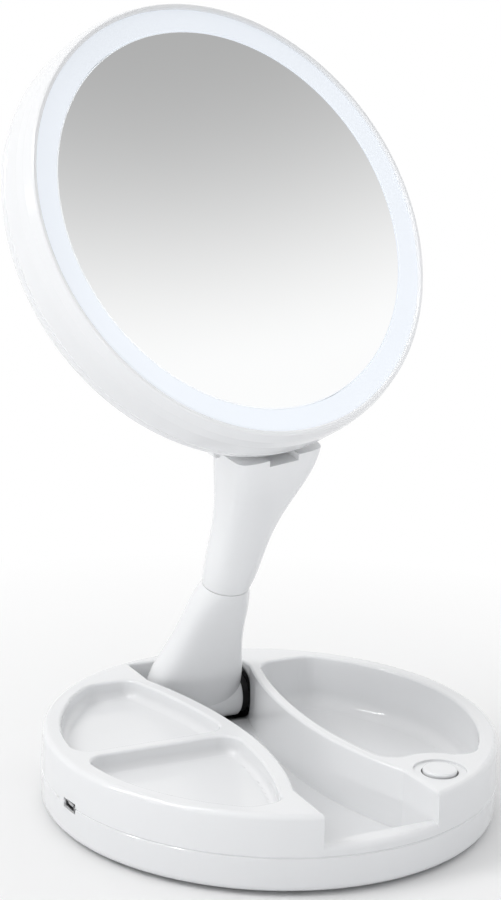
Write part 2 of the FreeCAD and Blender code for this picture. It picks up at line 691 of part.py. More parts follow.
def contact_leaf(name, x, y, turn):
    """A bent strip that presses on a cell's flat end, from its plate along X."""
    wall = value("contact_wall")
    low = -value("contact_side") / 2
    reach = leaf_long
    bend = [(0, low), (wall, low), (reach, 0), (wall, -low), (0, -low), (reach - 2 * wall, 0)]
    points = [Vector(turn * step, -value("leaf_width") / 2, rise) for step, rise in bend]
    item = doc.addObject("Part::Feature", name)
    item.Shape = Part.Face(Part.makePolygon(points + points[:1])).extrude(Vector(0, value("leaf_width"), 0))
    item.Placement = Placement(Vector(x, y, number(cell_z)), Rotation())
    return item


cells = []
contacts = []
leaves = []
for index in range(4):
    row = "(%.1f * cell_pitch)" % (index - 1.5)
    to_right = index % 2 == 0
    start = ("bay_inner - contact_wall - cell_nub - cell_long" if to_right
             else far_end + " + contact_wall + cell_nub")
    nub = start + (" + cell_long" if to_right else " - cell_nub")
    can = cross_cylinder("cell_can_%d" % index, "cell_radius", "cell_long", x=start, y=row, z=cell_z)
    tip = cross_cylinder("cell_tip_%d" % index, "cell_nub_radius", "cell_nub", x=nub, y=row, z=cell_z)
    cells.append(joined("cell_%d" % index, [can, tip]))
    for end, at in (("near", "bay_inner - contact_wall"), ("far", far_end)):
        contacts.append(box("contact_%s_%d" % (end, index), "contact_wall", "contact_side", "contact_side",
                            x=at, y=row + " - contact_side / 2", z=cell_z + " - contact_side / 2"))
    leaf_x = number(far_end + " + contact_wall") if to_right else number("bay_inner - contact_wall")
    leaves.append(contact_leaf("leaf_%d" % index, leaf_x, number(row), 1 if to_right else -1))
node("battery_cells", group("cell_set", cells))
node("battery_contacts", group("contact_set", contacts))
node("battery_springs", group("leaf_set", leaves))

# Control board, charging socket and charge light

node("control_board", box("board", "board_wide", "board_long", "board_wall", x=board_x,
                          y="board_middle - board_long / 2", z="part_line - port_tall / 2 - board_wall"))
socket_skin = box("socket_skin", "port_deep", "port_wide", "port_tall", x="-base_radius + port_inset",
                  y="port_y - port_wide / 2", z="part_line - port_tall / 2")
socket_room = box("socket_room", "port_deep", "port_wide - 2 * port_skin", "port_tall - 2 * port_skin",
                  x="-base_radius + port_inset - 2 * port_skin", y="port_y - port_wide / 2 + port_skin",
                  z="part_line - port_tall / 2 + port_skin")
socket_tongue = box("socket_tongue", "port_deep - port_skin", "port_wide / 2", "port_skin * 2",
                    x="-base_radius + port_inset + port_skin", y="port_y - port_wide / 4", z="part_line")
node("charging_socket", joined("socket", [cut("socket_can", socket_skin, [socket_room]), socket_tongue]))
node("charge_light", cross_cylinder("charge_pipe", "pilot_radius", "base_wall + 2", x="-base_radius + 0.1",
                                    y="pilot_y", z="part_line"))

# Power button and its switch

flange_top = "(base_height - deck_wall - flange_gap)"
switch_top = "(switch_board_height + board_wall + switch_height)"
button = turned("button_body", [
    ("0", "base_height + button_proud"),
    ("button_radius", "base_height + button_proud"),
    ("button_radius", flange_top),
    ("button_radius + flange_reach", flange_top),
    ("button_radius + flange_reach", flange_top + " - flange_height"),
    ("stem_radius", flange_top + " - flange_height"),
    ("stem_radius", switch_top + " + plunger_height"),
    ("0", switch_top + " + plunger_height")])
button_soft = rounded("button_soft", button, value("button_crown"), at_height(deck + value("button_proud")))
button_frame = Placement(Vector(value("button_x"), value("button_y"), 0), Rotation())
node("power_button", button_soft, button_frame)
node("switch_board", box("switch_plate", "switch_board_long", "switch_board_wide", "board_wall",
                         x="button_x - switch_board_long / 2", y="button_y - switch_board_wide / 2",
                         z="switch_board_height"))
switch_can = box("switch_can", "switch_side", "switch_side", "switch_height", x="button_x - switch_side / 2",
                 y="button_y - switch_side / 2", z="switch_board_height + board_wall")
switch_well = cylinder("switch_well", "plunger_radius + fit_gap", "20", x="button_x", y="button_y",
                       z=switch_top + " - button_travel - 2 * plunger_seat")
node("push_switch", cut("switch", switch_can, [switch_well]))
node("switch_plunger", cylinder("plunger", "plunger_radius", "plunger_height + plunger_seat", x="button_x",
                                y="button_y", z=switch_top + " - plunger_seat"))

# Arm hinge

block_x = "(root_space_half + channel_wall)"
for side, label in ((1, "arm_hinge_block_right"), (-1, "arm_hinge_block_left")):
    corner = block_x if side > 0 else "-%s - block_wall" % block_x
    block = box(label + "_full", "block_wall", "block_deep", "block_top - foot_stand - cover_floor",
                x=corner,
                y="pivot_y - block_deep / 2", z=floor_top)
    bore = cross_cylinder(label + "_bore", "arm_pin_radius + fit_gap", "4 * block_wall",
                          x=corner + " - block_wall",
                          y="pivot_y", z="pivot_z")
    node(label, cut(label + "_bored", block, [bore]))
node("arm_hinge_pin", cross_cylinder("hinge_pin", "arm_pin_radius", "2 * (%s + block_wall)" % block_x,
                                     x="-%s - block_wall" % block_x, y="pivot_y", z="pivot_z"))
washers = []
for side in (1, -1):
    corner = "root_half + washer_gap" if side > 0 else "-root_space_half + washer_gap"
    disc = cross_cylinder("washer_disc_%d" % (side + 1), "washer_radius",
                          "root_space_half - root_half - 2 * washer_gap",
                          x=corner, y="pivot_y", z="pivot_z")
    hole = cross_cylinder("washer_hole_%d" % (side + 1), "arm_pin_radius + fit_gap", "2 * base_radius",
                          x="-base_radius", y="pivot_y", z="pivot_z")
    washers.append(cut("washer_%d" % (side + 1), disc, [hole]))
node("arm_hinge_washers", group("washer_set", washers))

# Arm


def section(height, half, depth, back, power):
    """One level section of the arm: an oval that is squarer the higher its power."""
    count = 48
    points = []
    for index in range(count):
        angle = 2 * math.pi * index / count
        across = math.cos(angle)
        along = math.sin(angle)
        x = half * math.copysign(abs(across) ** (2 / power), across)
        y = depth * math.copysign(abs(along) ** (2 / power), along)
        points.append(Vector(x, back + y, height))
    curve = Part.BSplineCurve()
    curve.interpolate(points, PeriodicFlag=True)
    return Part.Wire(curve.toShape())


def arm_half(height, back):
    """Half width of the arm at a height over the seam: it fills the channel when folded."""
    reach = math.hypot(PIVOT.y - back, height - PIVOT.z)
    return channel_half(value("pivot_y") - reach) - value("arm_gap")


def arm_loft(name, stations):
    """A smooth arm through its sections."""
    item = doc.addObject("Part::Feature", name)
    item.Shape = Part.makeLoft([section(*station) for station in stations], True, False)
    return item


def low_station(count, piece):
    """One section of the lower arm, a number of steps under the seam."""
    height = -count * value("station")
    back = value(piece + "_back")
    return (height, arm_half(height, back), value(piece + "_depth"), back, value("low_power"))


def high_station(height, piece, slim=0):
    """One section of the upper arm, at a height over the seam."""
    back = -value(piece + "_lead")
    return (height, arm_half(height, back) - slim, value(piece + "_depth"), back, value(piece + "_power"))


half_seam = value("seam_gap") / 2
seam_size = value("seam_radius")
root_width = value("root_half") - value("root_inset")
root_depth = value("root_radius") - value("root_inset")
lower_loft = arm_loft("lower_loft", [
    (PIVOT.z, root_width, root_depth, PIVOT.y, value("low_power")),
    low_station(3, "shin"),
    low_station(2, "calf"),
    low_station(1, "ankle"),
    (-half_seam, seam_size, seam_size, 0, 2)])
root = cross_cylinder("root_barrel", "root_radius", "2 * root_half", x="-root_half", y=str(PIVOT.y),
                      z=str(PIVOT.z))
root_soft = rounded("root_soft", root, value("edge_round"), lambda edge: edge.BoundBox.XLength < 0.01)
root_bore = cross_cylinder("root_bore", "arm_pin_radius + fit_gap", "2 * base_radius", x="-base_radius",
                           y=str(PIVOT.y), z=str(PIVOT.z))
low_socket = cylinder("low_socket", "spindle_radius + fit_gap", "spindle_drop + fit_gap + 5",
                      z="-spindle_drop - fit_gap")
ring_room = cylinder("ring_room", "ring_radius + fit_gap", "ring_height + 5",
                     z="-ring_height - seam_gap / 2")
root_slab = box("root_slab", "2 * root_half", "4 * base_radius", "4 * base_radius", x="-root_half",
                y="-2 * base_radius", z="-2 * base_radius")
lower_full = shared("lower_full", joined("lower_joined", [lower_loft, root_soft]), root_slab)
node("lower_arm", cut("lower_cut", lower_full, [root_bore, low_socket, ring_room]), ARM)
ring_disc = cylinder("ring_disc", "ring_radius", "ring_height", z="-ring_height - seam_gap / 2")
ring_hole = cylinder("ring_hole", "spindle_radius + fit_gap", "20", z="-10")
node("swivel_ring", cut("ring", ring_disc, [ring_hole]), ARM)
spindle_rod = cylinder("spindle_rod", "spindle_radius", "spindle_reach + spindle_drop", z="-spindle_drop")
spindle_way = cylinder("spindle_way", "spindle_bore", "4 * spindle_reach", z="-2 * spindle_reach")
node("swivel_spindle", cut("spindle", spindle_rod, [spindle_way]), NECK)

upper_loft = arm_loft("upper_loft", [
    (half_seam, seam_size, seam_size, 0, 2),
    high_station(value("station"), "neck"),
    high_station(2 * value("station"), "chest"),
    high_station(3 * value("station"), "collar"),
    high_station(value("yoke_top"), "yoke", value("yoke_slim"))])
pin_y = str(TILT_PIN.y)
pin_z = str(TILT_PIN.z)
ear_post = box("ear_post", "2 * ear_outer", "2 * ear_radius", pin_z + " - yoke_top + ear_radius",
               x="-ear_outer",
               y=pin_y + " - ear_radius", z="yoke_top - ear_radius")
ear_barrel = cross_cylinder("ear_barrel", "ear_radius", "2 * ear_outer", x="-ear_outer", y=pin_y, z=pin_z)
yoke_slot = box("yoke_slot", "2 * slot_half", "2 * base_radius", "base_radius", x="-slot_half",
                y="-base_radius",
                z="slot_floor")
ear_bore = cross_cylinder("ear_bore", "tilt_pin_radius + fit_gap", "2 * base_radius", x="-base_radius",
                          y=pin_y,
                          z=pin_z)
high_socket = cylinder("high_socket", "spindle_radius + fit_gap", "spindle_reach + fit_gap + 5", z="-5")
tongue_room = cross_cylinder("tongue_room", "tongue_radius + tongue_gap", "2 * slot_half", x="-slot_half",
                             y=pin_y,
                             z=pin_z)
slot_rear = box("slot_rear", "2 * slot_half", "base_radius", "base_radius", x="-slot_half", y=pin_y,
                z=pin_z + " - tongue_radius - tongue_gap")
cap_rooms = []
for side, corner in ((1, "ear_outer"), (-1, "-ear_outer - base_radius")):
    cap_rooms.append(cross_cylinder("cap_room_%d" % (side + 1), "ear_radius", "base_radius", x=corner,
                                    y=pin_y, z=pin_z))
yoke_body = cut("yoke_body", upper_loft, cap_rooms)
node("upper_arm", cut("upper_cut", joined("upper_full", [yoke_body, ear_post, ear_barrel]),
                      [yoke_slot, slot_rear, tongue_room, ear_bore, high_socket]), NECK)
tilt_rod = cross_cylinder("tilt_rod", "tilt_pin_radius", "2 * ear_outer", x="-ear_outer", y=pin_y, z=pin_z)
node("tilt_pin", group("tilt_rod_set", [tilt_rod]), NECK)
caps = []
for side, corner in ((1, "ear_outer"), (-1, "-ear_outer - ear_cap")):
    disc = cross_cylinder("ear_disc_%d" % (side + 1), "ear_radius - edge_round", "ear_cap", x=corner,
                          y=pin_y, z=pin_z)
    outer = side * (value("ear_outer") + value("ear_cap"))
    caps.append(rounded("ear_cover_%d" % (side + 1), disc, value("ear_cap") / 2,
                        lambda edge: abs(edge.BoundBox.XMin - outer) + abs(edge.BoundBox.XMax - outer) < 0.01))
node("tilt_hinge_caps", group("cap_set", caps), NECK)

# Head: lit bezel, glass, lamps and the back with its magnifying glass

lens_front = "(bezel_lip + 0.1)"
plate_front = "(bezel_lip + 0.3 + glass_wall)"
plate_back = "(%s + plate_wall)" % plate_front
node("front_bezel", turned("bezel_body", [
    ("light_radius", "edge_bevel"),
    ("light_radius + edge_bevel", "0"),
    ("face_radius - edge_bevel", "0"),
    ("face_radius", "edge_bevel"),
    ("head_radius - edge_bevel", "head_line / 4"),
    ("head_radius", "head_line / 2"),
    ("head_radius", "head_line - part_bevel"),
    ("head_radius - part_bevel", "head_line"),
    ("head_radius - bezel_wall", "head_line"),
    ("head_radius - bezel_wall", "bezel_lip"),
    ("light_radius", "bezel_lip")]), HEAD)
node("light_diffuser", turned("lens_body", [
    ("glass_radius + glass_gap", lens_front),
    ("head_radius - bezel_wall - glass_gap", lens_front),
    ("head_radius - bezel_wall - glass_gap", lens_front + " + lens_wall"),
    ("glass_radius + glass_gap + lens_foot", lens_front + " + lens_wall"),
    ("glass_radius + glass_gap + lens_foot", plate_front),
    ("glass_radius + glass_gap", plate_front)]), HEAD)
node("mirror_glass", turned("glass_disc", [
    ("0", "bezel_lip + 0.3"),
    ("glass_radius - part_bevel", "bezel_lip + 0.3"),
    ("glass_radius", "bezel_lip + 0.3 + part_bevel"),
    ("glass_radius", plate_front),
    ("0", plate_front)]), HEAD)
node("mirror_plate", turned("glass_plate", [
    ("0", plate_front),
    ("glass_radius + glass_gap + lens_foot", plate_front),
    ("glass_radius + glass_gap + lens_foot", plate_back),
    ("0", plate_back)]), HEAD)
shelf = "(glass_radius + glass_gap + lens_foot + 0.6)"
node("lamp_board", turned("lamp_ring", [
    (shelf, "head_line - board_wall"),
    (shelf + " + strip_wide", "head_line - board_wall"),
    (shelf + " + strip_wide", "head_line"),
    (shelf, "head_line")]), HEAD)
lamps = []
for index in range(int(value("lamp_count"))):
    lamp = box("lamp_%d" % index, "lamp_wide", "lamp_long", "lamp_tall", x="0")
    turn = Rotation(Vector(0, 0, 1), 360 * index / value("lamp_count"))
    middle = Vector(number(shelf + " + strip_wide / 2 - lamp_wide / 2"), -value("lamp_long") / 2,
                    number("head_line - board_wall - lamp_tall"))
    lamp.setExpression("Placement.Base.x", None)
    lamp.setExpression("Placement.Base.y", None)
    lamp.setExpression("Placement.Base.z", None)
    lamp.Placement = Placement(turn.multVec(middle), turn)
    lamps.append(lamp)
node("lamps", group("lamp_set", lamps), HEAD)
back_inner = "(head_depth - back_glass_wall - 0.3 - back_wall)"
back_body = turned("back_body", [
    ("0", back_inner),
    ("stay_radius - 1", back_inner),
    ("stay_radius - 1", plate_back),
    ("stay_radius + 1", plate_back),
    ("stay_radius + 1", back_inner),
    (shelf, back_inner),
    (shelf, "head_line"),
    (shelf + " + shelf_wall", "head_line"),
    (shelf + " + shelf_wall", back_inner),
    ("head_radius - bezel_wall - 1.4", back_inner),
    ("head_radius - bezel_wall", back_inner + " - 1.4"),
    ("head_radius - bezel_wall", "head_line"),
    ("head_radius - part_bevel", "head_line"),
    ("head_radius", "head_line + part_bevel"),
    ("head_radius - 0.3", "head_depth - 4"),
    ("head_radius - 1.6", "head_depth - 1.7"),
    ("head_radius - 4.6", "head_depth"),
    ("back_glass_radius + glass_gap", "head_depth"),
    ("back_glass_radius + glass_gap", "head_depth - back_glass_wall - 0.3"),
    ("0", "head_depth - back_glass_wall - 0.3")])
bracket_holes = []
for index, side in enumerate((-1, 1)):
    bracket_holes.append(cylinder("back_hole_%d" % index, "screw_radius + fit_gap", "2 * head_depth",
                                  x="%d * (bracket_half - screw_head_radius - 1)" % side, y="pin_drop"))
node("back_shell", cut("back_cut", back_body, bracket_holes), HEAD)
hollow = value("back_glass_hollow")
dome = (value("back_glass_radius") ** 2 + hollow ** 2) / (2 * hollow)
back_disc = cylinder("back_disc", "back_glass_radius", "back_glass_wall",
                     z="head_depth - back_glass_wall - 0.3")
back_ball = place(doc.addObject("Part::Sphere", "back_ball"),
                  z="head_depth - 0.3 - back_glass_hollow + %s" % dome)
back_ball.Radius = dome
node("magnifying_glass", cut("back_glass", back_disc, [back_ball]), HEAD)

# Bracket between the head and the tilt pin

pin_depth = "(head_depth + pin_behind)"
tongue_half = "(slot_half - tongue_gap)"
bracket_foot = box("bracket_foot", "2 * bracket_half", "2 * bracket_reach", "bracket_wall",
                   x="-bracket_half",
                   y="pin_drop - bracket_reach", z="head_depth")
foot_soft = rounded("foot_soft", bracket_foot, 2.5, upright)
tongue_post = box("tongue_post", "2 * " + tongue_half, "2 * tongue_radius", "pin_behind",
                  x="-" + tongue_half,
                  y="pin_drop - tongue_radius", z="head_depth")
tongue_barrel = cross_cylinder("tongue_barrel", "tongue_radius", "2 * " + tongue_half, x="-" + tongue_half,
                               y="pin_drop", z=pin_depth)
tongue_bore = cross_cylinder("tongue_bore", "tilt_pin_radius + fit_gap", "2 * base_radius", x="-base_radius",
                             y="pin_drop", z=pin_depth)
bracket_cuts = [tongue_bore]
bracket_screws = []
for index, side in enumerate((-1, 1)):
    spot = {"x": "%d * (bracket_half - screw_head_radius - 1)" % side, "y": "pin_drop"}
    bracket_cuts.append(cylinder("bracket_hole_%d" % index, "screw_radius + fit_gap", "2 * head_depth",
                                 **spot))
    bracket_cuts.append(cylinder("bracket_sink_%d" % index, "screw_head_radius + fit_gap", "bracket_wall",
                                 z="head_depth + bracket_wall / 2", **spot))
    head = cylinder("bracket_head_%d" % index, "screw_head_radius", "bracket_wall / 2 - fit_gap",
                    z="head_depth + bracket_wall / 2", **spot)
    shank = cylinder("bracket_shank_%d" % index, "screw_radius", "bracket_wall + back_wall",
                     z="head_depth + bracket_wall - bracket_wall - back_wall", **spot)
    bracket_screws.append(joined("bracket_screw_%d" % index, [head, shank]))
node("head_bracket", cut("bracket", joined("bracket_full", [foot_soft, tongue_post, tongue_barrel]),
                         bracket_cuts),
     HEAD)
node("bracket_screws", group("bracket_screw_set", bracket_screws), HEAD)

doc.recompute()
for item in doc.Objects:
    if "Invalid" in item.State or "Error" in item.State:
        raise RuntimeError("not built: " + item.Label)
os.makedirs("parts", exist_ok=True)
for item in NODES:
    if item.Shape.isNull() or not item.Shape.isValid():
        raise RuntimeError("not valid: " + item.Label)
    item.Shape.exportStep("parts/%s.step" % item.Label)
    print(item.Label, len(item.Shape.Solids), round(item.Shape.Volume, 1))
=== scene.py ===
import math

import bpy
from mathutils import Matrix, Vector

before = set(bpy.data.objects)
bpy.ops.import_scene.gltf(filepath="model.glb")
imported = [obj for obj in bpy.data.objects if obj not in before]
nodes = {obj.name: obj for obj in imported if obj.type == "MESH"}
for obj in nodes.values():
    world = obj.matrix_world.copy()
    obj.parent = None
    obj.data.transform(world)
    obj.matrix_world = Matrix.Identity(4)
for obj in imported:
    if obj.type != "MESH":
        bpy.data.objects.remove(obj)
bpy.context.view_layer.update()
scene = bpy.context.scene


# Camera, at the photograph's place

EYE = Vector((-0.3784, -0.6814, 0.3344))
TARGET = Vector((-0.00991, 0.00532, 0.13636))
ROLL = math.radians(2.04)
LENS_MM = 88.0
SENSOR_MM = 36.0
VIEW_NEAR = 0.05
VIEW_FAR = 50.0

forward = (TARGET - EYE).normalized()
level_right = forward.cross(Vector((0, 0, 1))).normalized()
level_up = level_right.cross(forward)
right = level_right * math.cos(ROLL) + level_up * math.sin(ROLL)
up = level_up * math.cos(ROLL) - level_right * math.sin(ROLL)
camera_data = bpy.data.cameras.new("camera")
camera_data.lens = LENS_MM
camera_data.sensor_width = SENSOR_MM
camera_data.clip_start = VIEW_NEAR
camera_data.clip_end = VIEW_FAR
camera = bpy.data.objects.new("camera", camera_data)
scene.collection.objects.link(camera)
turn = Matrix((right, up, -forward)).transposed().to_4x4()
camera.matrix_world = Matrix.Translation(EYE) @ turn
scene.camera = camera


# Node trees

def colours(sockets):
    """A mix node's colour sockets, without its other sockets of the same names."""
    return [socket for socket in sockets if socket.type == "RGBA"]


class Nodes:
    """A node tree, with short ways to add and join nodes."""

    def __init__(self, tree):
        self.tree = tree

    def add(self, kind, **settings):
        node = self.tree.nodes.new("ShaderNode" + kind)
        for name, value in settings.items():
            setattr(node, name, value)
        return node

    def join(self, source, target):
        self.tree.links.new(source, target)

    def fill(self, sockets, values):
        """Fill sockets in order: a value that is a socket is joined, any other is set."""
        for socket, value in zip(sockets, values):
            if isinstance(value, bpy.types.NodeSocket):
                self.join(value, socket)
            else:
                socket.default_value = value

    def set(self, node, **values):
        """Fill a node's inputs by their names, with _ for a space."""
        for name, value in values.items():
            self.fill([node.inputs[name.replace("_", " ")]], [value])

    def place(self, kind="Object"):
        return self.add("TexCoord").outputs[kind]

    def math(self, operation, *values):
        node = self.add("Math", operation=operation)
        self.fill(node.inputs, values)
        return node.outputs["Value"]

    def vector(self, operation, *values):
        node = self.add("VectorMath", operation=operation)
        self.fill(node.inputs, values)
        single = operation in ("DOT_PRODUCT", "LENGTH")
        return node.outputs["Value" if single else "Vector"]

    def noise(self, scale, detail=4.0, rough=0.5, place=None):
        node = self.add("TexNoise")
        self.set(node, Scale=scale, Detail=detail, Roughness=rough,
                 Vector=self.place() if place is None else place)
        return node.outputs["Fac"]

    def ramp(self, source, low, high, first=0.0, last=1.0, kind="LINEAR"):
        """From first to last, as the source goes from low to high."""
        node = self.add("MapRange", interpolation_type=kind)
        self.set(node, Value=source, From_Min=low, From_Max=high, To_Min=first, To_Max=last)
        return node.outputs["Result"]

    def tint(self, source, first, last):
        """From one colour to another, as the source goes from 0 to 1."""
        node = self.add("Mix", data_type="RGBA")
        self.set(node, Factor=source)
        self.fill(colours(node.inputs), ((*first, 1), (*last, 1)))
        return colours(node.outputs)[0]

    def darker(self, first, second):
        node = self.add("Mix", data_type="RGBA", blend_type="DARKEN")
        self.set(node, Factor=1.0)
        self.fill(colours(node.inputs), (first, second))
        return colours(node.outputs)[0]

    def bump(self, source, strength, distance):
        node = self.add("Bump")
        self.set(node, Height=source, Strength=strength, Distance=distance)
        return node.outputs["Normal"]

    def choose(self, factor, first, second):
        """One of two shaders, by a factor."""
        node = self.add("MixShader")
        self.fill(node.inputs, (factor, first, second))
        return node.outputs["Shader"]

    def background(self, colour, strength):
        node = self.add("Background")
        self.set(node, Color=colour, Strength=strength)
        return node.outputs["Background"]

    def sights(self):
        """1 for what the camera sees itself, and 1 for what a mirror or a glass shows."""
        path = self.add("LightPath").outputs
        shown = self.math("MAXIMUM", path["Is Glossy Ray"], path["Is Transmission Ray"])
        return path["Is Camera Ray"], shown


class Surface(Nodes):
    """A new material's node tree, with its shader."""

    def __init__(self, name):
        self.material = bpy.data.materials.new(name)
        self.material.use_nodes = True
        super().__init__(self.material.node_tree)
        self.shader = self.tree.nodes["Principled BSDF"]


# Materials. Noise scales are per metre, and depths are in metres.

WHITE = (0.80, 0.806, 0.815)
# Painted shade: the black painted into the top shell's deep gaps, and the width of its soft edge
PAINTED_SHADE_BLACK = (0.012, 0.012, 0.013)
PAINTED_SHADE_FADE = 0.001
SILVER = (0.985, 0.99, 0.99)
CLOUD_SCALE = 18.0
GLOSS_SCALE = 60.0
GRAIN_SCALE = 350.0
GRAIN_BUMP = 0.01
GRAIN_DEPTH = 0.00003
PATCH_SPAN = (0.3, 0.7)
GLOSS_SPAN = (0.25, 0.75)
PLASTIC_IOR = 1.5
BRUSH_STRETCH = (12.0, 400.0, 400.0)
BRUSH_SCALE = 6.0
BRUSH_BUMP = 0.05
BRUSH_DIM = 0.9
WIPE_SCALE = 9.0
WIPE_SPAN = (0.35, 0.7)
WIPE_DIM = 0.015
GROUND_SPAN = (0.9, 0.99)
GROUND_ROUGH = 0.55
FROST_CLOUD_SCALE = 26.0
FROST_GLOSS_SCALE = 80.0
FROST_BODY = (0.49, 0.5)
FROST_DIM = 0.985
FROST_ROUGH = (0.32, 0.42)
FROST_DEPTH = 0.00002


def outside(n, middle, across, near, far, half):
    """The mask for painted shade: 0 in a round pocket about an axis, 1 outside it.

    The pocket ends from near to far, measured from its middle along the axes in across, and at
    half its length along x.
    """
    offset = n.vector("SUBTRACT", n.place(), middle)
    reach = n.vector("LENGTH", n.vector("MULTIPLY", offset, across))
    split = n.add("SeparateXYZ")
    n.set(split, Vector=offset)
    aside = n.math("ABSOLUTE", split.outputs["X"])
    return n.math("MAXIMUM", n.ramp(reach, near, far), n.ramp(aside, half, half + PAINTED_SHADE_FADE))


def moulded(name, colour, rough, grain=0.0, specular=0.5, spread=0.012, painted_shade_pockets=()):
    """Moulded plastic: a faint cloud in colour and gloss, a fine grain, and painted shade, black,
    in the deep round recesses given.
    """
    n = Surface(name)
    shade = [max(0.0, c - spread) for c in colour]
    tone = n.tint(n.ramp(n.noise(CLOUD_SCALE, detail=5.0), *PATCH_SPAN), shade, colour)
    # Painted shade: each round recess given is painted black, for the deep shadow in it.
    for pocket in painted_shade_pockets:
        tone = n.darker(tone, n.tint(outside(n, **pocket), PAINTED_SHADE_BLACK, WHITE))
    gloss = n.ramp(n.noise(GLOSS_SCALE, detail=6.0), *GLOSS_SPAN, rough - 0.04, rough + 0.05)
    normal = n.bump(n.noise(GRAIN_SCALE, detail=2.0), GRAIN_BUMP + grain, GRAIN_DEPTH)
    n.set(n.shader, Base_Color=tone, Roughness=gloss, Normal=normal, IOR=PLASTIC_IOR,
          Specular_IOR_Level=specular)
    return n.material


def metal(name, colour, rough):
    """Drawn metal with a fine lengthwise brushing."""
    n = Surface(name)
    stretch = n.add("Mapping")
    n.set(stretch, Vector=n.place(), Scale=BRUSH_STRETCH)
    brush = n.noise(BRUSH_SCALE, detail=6.0, place=stretch.outputs["Vector"])
    shade = [c * BRUSH_DIM for c in colour]
    n.set(n.shader, Base_Color=n.tint(brush, shade, colour), Metallic=1.0,
          Roughness=n.ramp(brush, *PATCH_SPAN, rough - 0.06, rough + 0.08),
          Normal=n.bump(brush, BRUSH_BUMP, GRAIN_DEPTH))
    return n.material


def silvered(name):
    """Silvered glass with the faintest wiping marks."""
    n = Surface(name)
    film = n.ramp(n.noise(WIPE_SCALE, detail=8.0, rough=0.6), *WIPE_SPAN)
    n.set(n.shader, Base_Color=n.tint(film, SILVER, [c - WIPE_DIM for c in SILVER]))
    return n


def flat_mirror(name, axis):
    """A flat mirror, with a ground edge where its face turns from its axis."""
    n = silvered(name)
    facing = n.math("ABSOLUTE", n.vector("DOT_PRODUCT", n.place("Normal"), axis))
    n.set(n.shader, Roughness=n.ramp(facing, *GROUND_SPAN, GROUND_ROUGH, 0.0),
          Metallic=n.ramp(facing, *GROUND_SPAN))
    return n.material


def hollow_mirror(name, axis, middle, radius):
    """A hollow mirror, with the true normal of its curve."""
    n = silvered(name)
    inward = n.vector("SUBTRACT", middle, n.place())
    lean = n.vector("MULTIPLY_ADD", inward, [1 / radius] * 3, axis)
    turned = n.add("VectorTransform", vector_type="NORMAL", convert_from="OBJECT",
                   convert_to="WORLD")
    n.set(turned, Vector=lean)
    n.set(n.shader, Roughness=0.0, Metallic=1.0, Normal=turned.outputs["Vector"])
    return n.material


def glowing(name, colour, strength):
    """Frosted plastic with a slightly uneven light behind it."""
    n = Surface(name)
    cloud = n.ramp(n.noise(FROST_CLOUD_SCALE, detail=3.0), *PATCH_SPAN)
    body = n.tint(cloud, *([c * share for c in colour] for share in FROST_BODY))
    light = n.tint(cloud, [c * FROST_DIM for c in colour], colour)
    n.set(n.shader, Base_Color=body, Emission_Color=light, Emission_Strength=strength,
          Roughness=n.ramp(n.noise(FROST_GLOSS_SCALE), *PATCH_SPAN, *FROST_ROUGH),
          Normal=n.bump(n.noise(GRAIN_SCALE, detail=2.0), GRAIN_BUMP, FROST_DEPTH))
    return n.material


def middle_of(name):
    points = [point.co for point in nodes[name].data.vertices]
    return sum(points, Vector()) / len(points)


MAGNIFIER_RADIUS = 2.722
# The normal of the mirror's largest face, and the same line toward the magnifier on the back
mirror_axis = max(nodes["mirror_glass"].data.polygons, key=lambda face: face.area).normal
magnifier_middle = middle_of("magnifying_glass")
backward = mirror_axis.dot(magnifier_middle - middle_of("mirror_glass")) > 0
back_axis = mirror_axis if backward else -mirror_axis

# Painted shade on the top shell: black inside its deep gaps, where the shadow is deep, round the
# arm's hinge pin and round the button.
HINGE = Vector((0.0, 0.0675, 0.0165))
BUTTON = Vector((0.0347, -0.0642, 0.0))
shell_home = nodes["base_top_shell"].matrix_world.inverted()
shell_painted_shade_pockets = (
    dict(middle=shell_home @ HINGE, across=(0, 1, 1), near=0.0104, far=0.0122, half=0.0229),
    dict(middle=shell_home @ BUTTON, across=(1, 1, 0), near=0.0067, far=0.0069, half=0.0068),
)

looks = {
    # The top shell's plastic carries the painted shade round the hinge pin and the button.
    "shell": moulded("shell_gloss_painted_shade", WHITE, 0.07, painted_shade_pockets=shell_painted_shade_pockets),
    "white": moulded("white_gloss", WHITE, 0.10),
    "head": moulded("head_gloss", WHITE, 0.14),
    "inner": moulded("white_inner", (0.72, 0.72, 0.715), 0.5, grain=0.05),
    "rubber": moulded("foot_rubber", (0.42, 0.42, 0.425), 0.75, grain=0.2, specular=0.3),
    "acetal": moulded("acetal", (0.7, 0.7, 0.68), 0.4, grain=0.04),
    "dark": moulded("dark_plastic", (0.02, 0.02, 0.021), 0.45, grain=0.06, specular=0.4,
                    spread=0.004),
    "board": moulded("board_green", (0.02, 0.12, 0.05), 0.4, grain=0.05, spread=0.008),
    "lamp": moulded("lamp_yellow", (0.85, 0.76, 0.35), 0.3),
    "cell": moulded("cell_wrap", (0.035, 0.037, 0.045), 0.35, grain=0.02, spread=0.008),
    "steel": metal("steel", (0.56, 0.56, 0.57), 0.3),
    "spring": metal("spring_plate", (0.68, 0.64, 0.55), 0.28),
    "mirror": flat_mirror("mirror_silver", mirror_axis),
    "magnifier": hollow_mirror("magnifier_silver", back_axis, magnifier_middle, MAGNIFIER_RADIUS),
    "light": glowing("light_ring", (0.87, 0.91, 0.965), 0.53),
}
